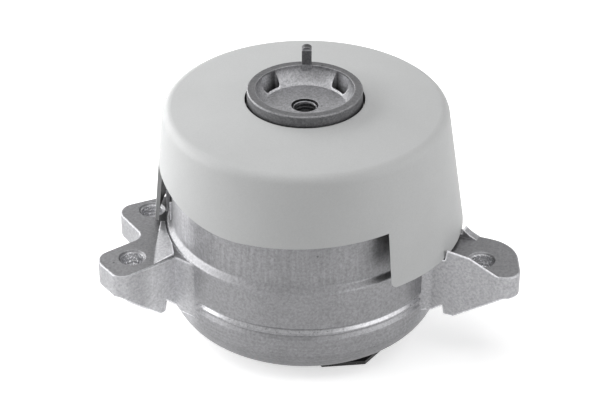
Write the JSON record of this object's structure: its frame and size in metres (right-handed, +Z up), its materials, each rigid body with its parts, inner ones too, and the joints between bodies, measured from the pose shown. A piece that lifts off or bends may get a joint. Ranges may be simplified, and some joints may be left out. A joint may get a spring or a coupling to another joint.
{
  "type": "engine mount",
  "caption": "Hydraulic engine mount: a cast pot with three threaded lugs, a hub with a thread and peg on top, a light heat cap over it.",
  "frame": {"origin": "on the mount's axis, at the plane that the bottom cover stands on", "axes": "+Z up the mount's axis, out of the hub; +X from the double lug towards the single lug; the picture's side faces -Y"},
  "size_m": [0.1599, 0.1182, 0.1073],
  "materials": {
    "cast_aluminium": "as cast, blasted",
    "steel": "pressed and plated",
    "rubber": "moulded",
    "nylon": "moulded",
    "black_plastic": "moulded",
    "cap_plastic": "moulded, satin"
  },
  "bodies": {
    "root": {"housing": "cast_aluminium", "core": "cast_aluminium", "spring_ring": "steel", "main_spring": "rubber", "rebound_buffer": "rubber", "fill_ball": "steel", "channel_upper": "nylon", "channel_lower": "nylon", "membrane": "rubber", "channel_seal": "rubber", "bellows": "rubber", "clamp_ring": "steel", "bottom_cover": "black_plastic", "heat_cap": "cap_plastic"}
  },
  "joints": []
}
